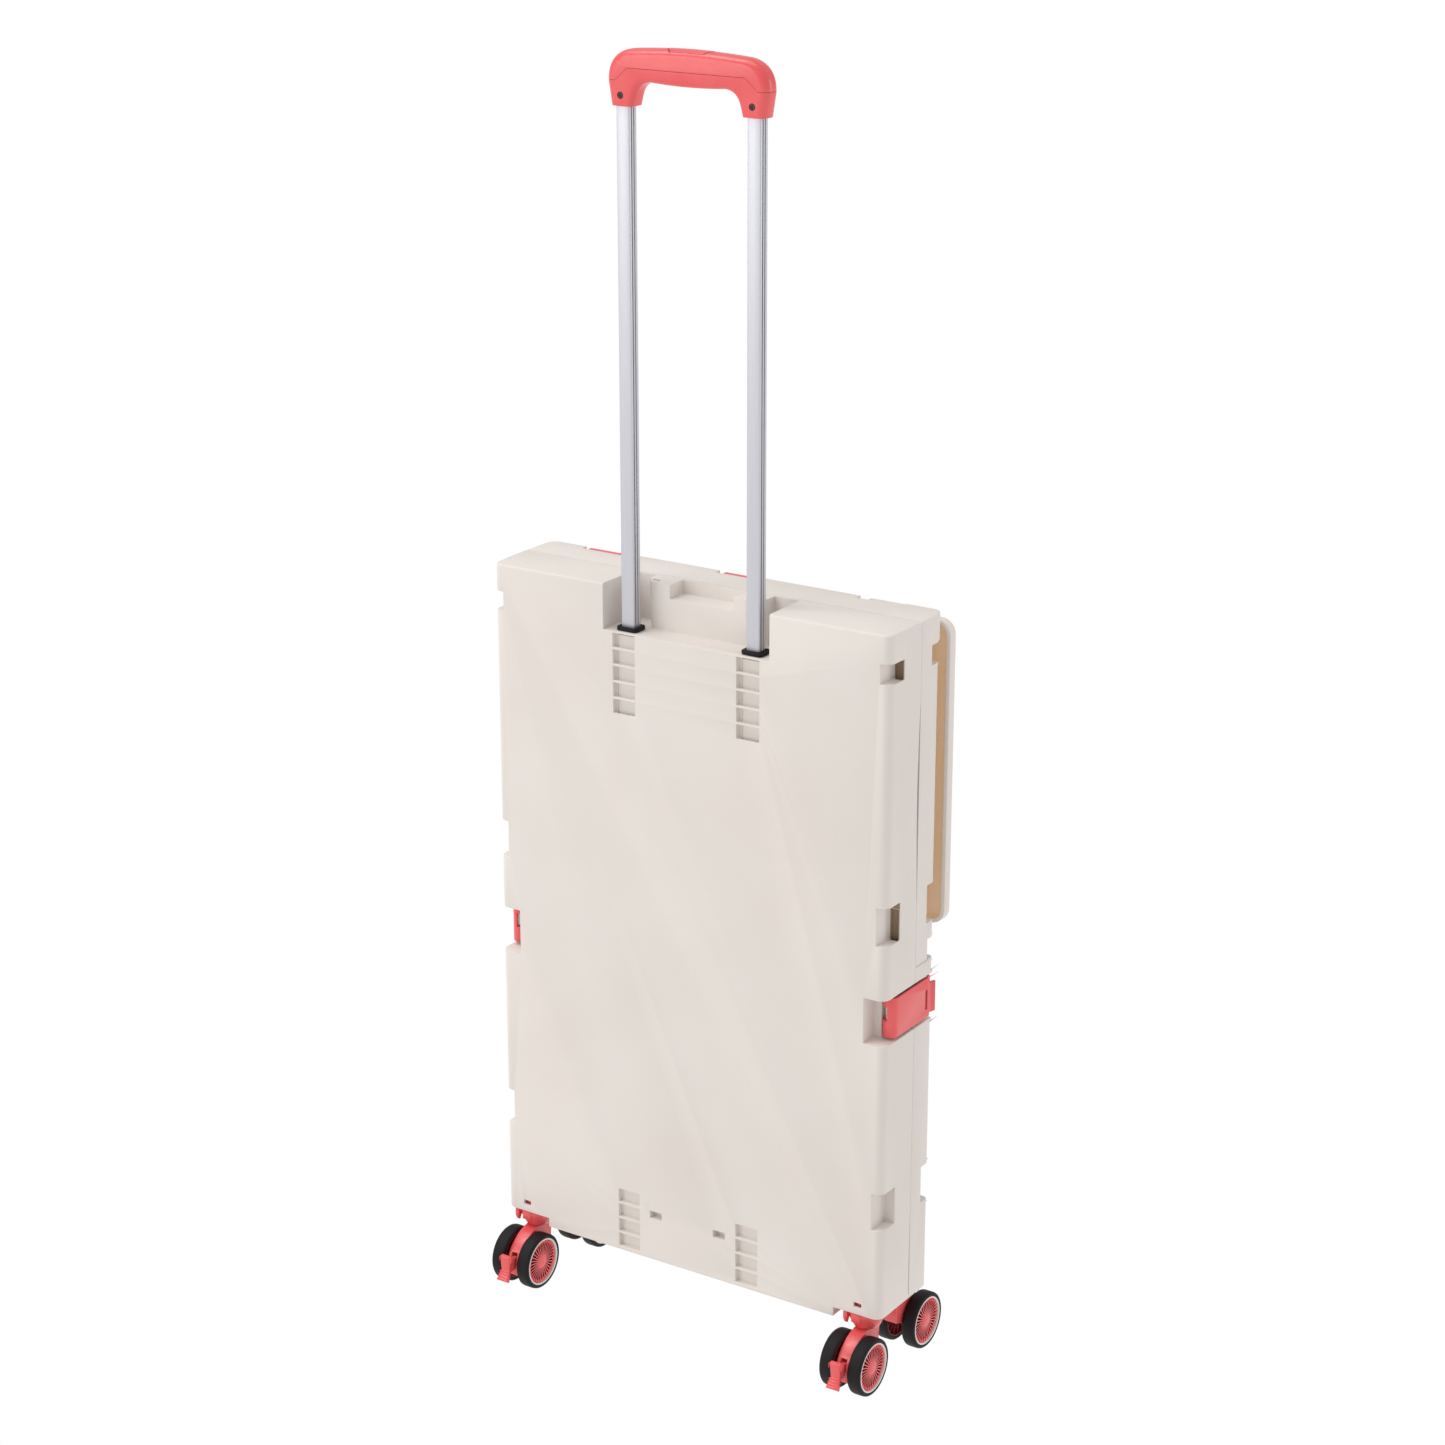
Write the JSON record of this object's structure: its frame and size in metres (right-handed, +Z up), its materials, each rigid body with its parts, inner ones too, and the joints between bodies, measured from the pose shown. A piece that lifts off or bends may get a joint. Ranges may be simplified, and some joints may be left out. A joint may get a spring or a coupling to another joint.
{
  "type": "folding platform cart",
  "caption": "Folding box cart, folded flat: two shallow plastic shells latched face to face, a drawn-out telescopic pull handle, a lid hanging behind, and twin-wheel swivel casters.",
  "frame": {"origin": "on the floor, below the middle of the whole folded cart", "axes": "+Z up, +X to the right when facing the handle side, +Y from the handle-side shell towards the rear shell and lid"},
  "size_m": [0.375, 0.1492, 1.0555],
  "materials": {
    "cream_plastic": "satin moulded polypropylene",
    "coral_plastic": "satin moulded ABS",
    "anodised_aluminium": "satin anodised",
    "steel": "bright drawn rod",
    "black_plastic": "fine texture",
    "tyre_rubber": "smooth moulded rubber",
    "screw_steel": "blackened"
  },
  "bodies": {
    "front_frame": {"front_shell": "cream_plastic", "floor_panel": "cream_plastic", "tube_sleeve_left": "cream_plastic", "tube_sleeve_right": "cream_plastic", "tube_collar_left": "black_plastic", "tube_collar_right": "black_plastic", "latch_pin_left": "steel", "latch_pin_right": "steel", "caster_bracket_front_left": "coral_plastic", "caster_bracket_front_right": "coral_plastic"},
    "rear_frame": {"rear_shell": "cream_plastic", "lid_hinge_left": "coral_plastic", "lid_hinge_centre": "coral_plastic", "lid_rod": "steel", "caster_bracket_rear_left": "coral_plastic", "caster_bracket_rear_right": "coral_plastic"},
    "left_front_leaf": {"side_panel_left_front": "cream_plastic", "panel_pin_left": "steel"},
    "left_rear_leaf": {"side_panel_left_rear": "cream_plastic"},
    "right_front_leaf": {"side_panel_right_front": "cream_plastic", "panel_pin_right": "steel"},
    "right_rear_leaf": {"side_panel_right_rear": "cream_plastic"},
    "lid_leaf": {"lid": "cream_plastic"},
    "pull_handle": {"handle_tube_left": "anodised_aluminium", "handle_tube_right": "anodised_aluminium", "grip_base": "coral_plastic", "grip_cover": "coral_plastic", "handle_screw_left": "screw_steel", "handle_screw_right": "screw_steel"},
    "button": {"handle_button": "coral_plastic"},
    "latch_left_arm": {"latch_left": "coral_plastic"},
    "latch_right_arm": {"latch_right": "coral_plastic"},
    "fork_front_left": {"caster_fork_front_left": "coral_plastic", "caster_axle_front_left": "steel"},
    "wheel_front_left_a": {"tyre_front_left_a": "tyre_rubber", "wheel_hub_front_left_a": "coral_plastic"},
    "wheel_front_left_b": {"tyre_front_left_b": "tyre_rubber", "wheel_hub_front_left_b": "coral_plastic"},
    "pedal_front_left": {"brake_pedal_front_left": "coral_plastic"},
    "fork_front_right": {"caster_fork_front_right": "coral_plastic", "caster_axle_front_right": "steel"},
    "wheel_front_right_a": {"tyre_front_right_a": "tyre_rubber", "wheel_hub_front_right_a": "coral_plastic"},
    "wheel_front_right_b": {"tyre_front_right_b": "tyre_rubber", "wheel_hub_front_right_b": "coral_plastic"},
    "pedal_front_right": {"brake_pedal_front_right": "coral_plastic"},
    "fork_rear_left": {"caster_fork_rear_left": "coral_plastic", "caster_axle_rear_left": "steel"},
    "wheel_rear_left_a": {"tyre_rear_left_a": "tyre_rubber", "wheel_hub_rear_left_a": "coral_plastic"},
    "wheel_rear_left_b": {"tyre_rear_left_b": "tyre_rubber", "wheel_hub_rear_left_b": "coral_plastic"},
    "fork_rear_right": {"caster_fork_rear_right": "coral_plastic", "caster_axle_rear_right": "steel"},
    "wheel_rear_right_a": {"tyre_rear_right_a": "tyre_rubber", "wheel_hub_rear_right_a": "coral_plastic"},
    "wheel_rear_right_b": {"tyre_rear_right_b": "tyre_rubber", "wheel_hub_rear_right_b": "coral_plastic"}
  },
  "joints": [
    {"name": "side_fold", "type": "hinge", "parent": "front_frame", "child": "left_front_leaf", "pos_m": [-0.17, 0.004, 0.3446], "axis": [0, 0, 1], "range_deg": [0, 90]},
    {"name": "left_centre_fold", "type": "hinge", "parent": "left_front_leaf", "child": "left_rear_leaf", "pos_m": [-0.066, 0.01, 0.3446], "axis": [0, 0, 1], "range_deg": [-180, 0]},
    {"name": "rear_frame_fold", "type": "hinge", "parent": "left_rear_leaf", "child": "rear_frame", "pos_m": [-0.17, 0.016, 0.3446], "axis": [0, 0, 1], "range_deg": [0, 90]},
    {"name": "right_front_fold", "type": "hinge", "parent": "front_frame", "child": "right_front_leaf", "pos_m": [0.17, 0.004, 0.3446], "axis": [0, 0, 1], "range_deg": [-90, 0]},
    {"name": "right_centre_fold", "type": "hinge", "parent": "right_front_leaf", "child": "right_rear_leaf", "pos_m": [0.066, 0.01, 0.3446], "axis": [0, 0, 1], "range_deg": [0, 180]},
    {"name": "lid_swing", "type": "hinge", "parent": "rear_frame", "child": "lid_leaf", "pos_m": [0, 0.05, 0.6325], "axis": [1, 0, 0], "range_deg": [0, 160]},
    {"name": "handle_slide", "type": "slide", "parent": "front_frame", "child": "pull_handle", "axis": [0, 0, 1], "range_m": [-0.405, 0]},
    {"name": "button_press", "type": "slide", "parent": "pull_handle", "child": "button", "axis": [0, 0, -1], "range_m": [0, 0.0025], "stiffness_N_per_m": 400},
    {"name": "latch_left_swing", "type": "hinge", "parent": "front_frame", "child": "latch_left_arm", "pos_m": [-0.179, -0.016, 0.3226], "axis": [0, 0, 1], "range_deg": [0, 110]},
    {"name": "latch_right_swing", "type": "hinge", "parent": "front_frame", "child": "latch_right_arm", "pos_m": [0.179, -0.016, 0.3226], "axis": [0, 0, -1], "range_deg": [0, 110]},
    {"name": "swivel_front_left", "type": "hinge", "parent": "front_frame", "child": "fork_front_left", "pos_m": [-0.164, -0.02, 0.0446], "axis": [0, 0, 1], "range_deg": [-90, 90]},
    {"name": "wheel_spin_front_left_a", "type": "hinge", "parent": "fork_front_left", "child": "wheel_front_left_a", "pos_m": [-0.177, -0.04, 0.024], "axis": [1, 0, 0], "continuous": true},
    {"name": "wheel_spin_front_left_b", "type": "hinge", "parent": "fork_front_left", "child": "wheel_front_left_b", "pos_m": [-0.151, -0.04, 0.024], "axis": [1, 0, 0], "continuous": true},
    {"name": "brake_press_front_left", "type": "hinge", "parent": "fork_front_left", "child": "pedal_front_left", "pos_m": [-0.164, -0.058, 0.0271], "axis": [1, 0, 0], "range_deg": [0, 10]},
    {"name": "swivel_front_right", "type": "hinge", "parent": "front_frame", "child": "fork_front_right", "pos_m": [0.164, -0.02, 0.0446], "axis": [0, 0, 1], "range_deg": [-90, 90]},
    {"name": "wheel_spin_front_right_a", "type": "hinge", "parent": "fork_front_right", "child": "wheel_front_right_a", "pos_m": [0.151, -0.04, 0.024], "axis": [1, 0, 0], "continuous": true},
    {"name": "wheel_spin_front_right_b", "type": "hinge", "parent": "fork_front_right", "child": "wheel_front_right_b", "pos_m": [0.177, -0.04, 0.024], "axis": [1, 0, 0], "continuous": true},
    {"name": "brake_press_front_right", "type": "hinge", "parent": "fork_front_right", "child": "pedal_front_right", "pos_m": [0.164, -0.058, 0.0271], "axis": [1, 0, 0], "range_deg": [0, 10]},
    {"name": "swivel_rear_left", "type": "hinge", "parent": "rear_frame", "child": "fork_rear_left", "pos_m": [-0.162, 0.0306, 0.0446], "axis": [0, 0, 1], "range_deg": [-90, 90]},
    {"name": "wheel_spin_rear_left_a", "type": "hinge", "parent": "fork_rear_left", "child": "wheel_rear_left_a", "pos_m": [-0.149, 0.0506, 0.024], "axis": [1, 0, 0], "continuous": true},
    {"name": "wheel_spin_rear_left_b", "type": "hinge", "parent": "fork_rear_left", "child": "wheel_rear_left_b", "pos_m": [-0.175, 0.0506, 0.024], "axis": [1, 0, 0], "continuous": true},
    {"name": "swivel_rear_right", "type": "hinge", "parent": "rear_frame", "child": "fork_rear_right", "pos_m": [0.162, 0.0306, 0.0446], "axis": [0, 0, 1], "range_deg": [-90, 90]},
    {"name": "wheel_spin_rear_right_a", "type": "hinge", "parent": "fork_rear_right", "child": "wheel_rear_right_a", "pos_m": [0.175, 0.0506, 0.024], "axis": [1, 0, 0], "continuous": true},
    {"name": "wheel_spin_rear_right_b", "type": "hinge", "parent": "fork_rear_right", "child": "wheel_rear_right_b", "pos_m": [0.149, 0.0506, 0.024], "axis": [1, 0, 0], "continuous": true}
  ],
  "couplings": [
    {"joint": "left_centre_fold", "follows": "side_fold", "ratio": -2},
    {"joint": "rear_frame_fold", "follows": "side_fold", "ratio": 1},
    {"joint": "right_front_fold", "follows": "side_fold", "ratio": -1},
    {"joint": "right_centre_fold", "follows": "side_fold", "ratio": 2}
  ]
}
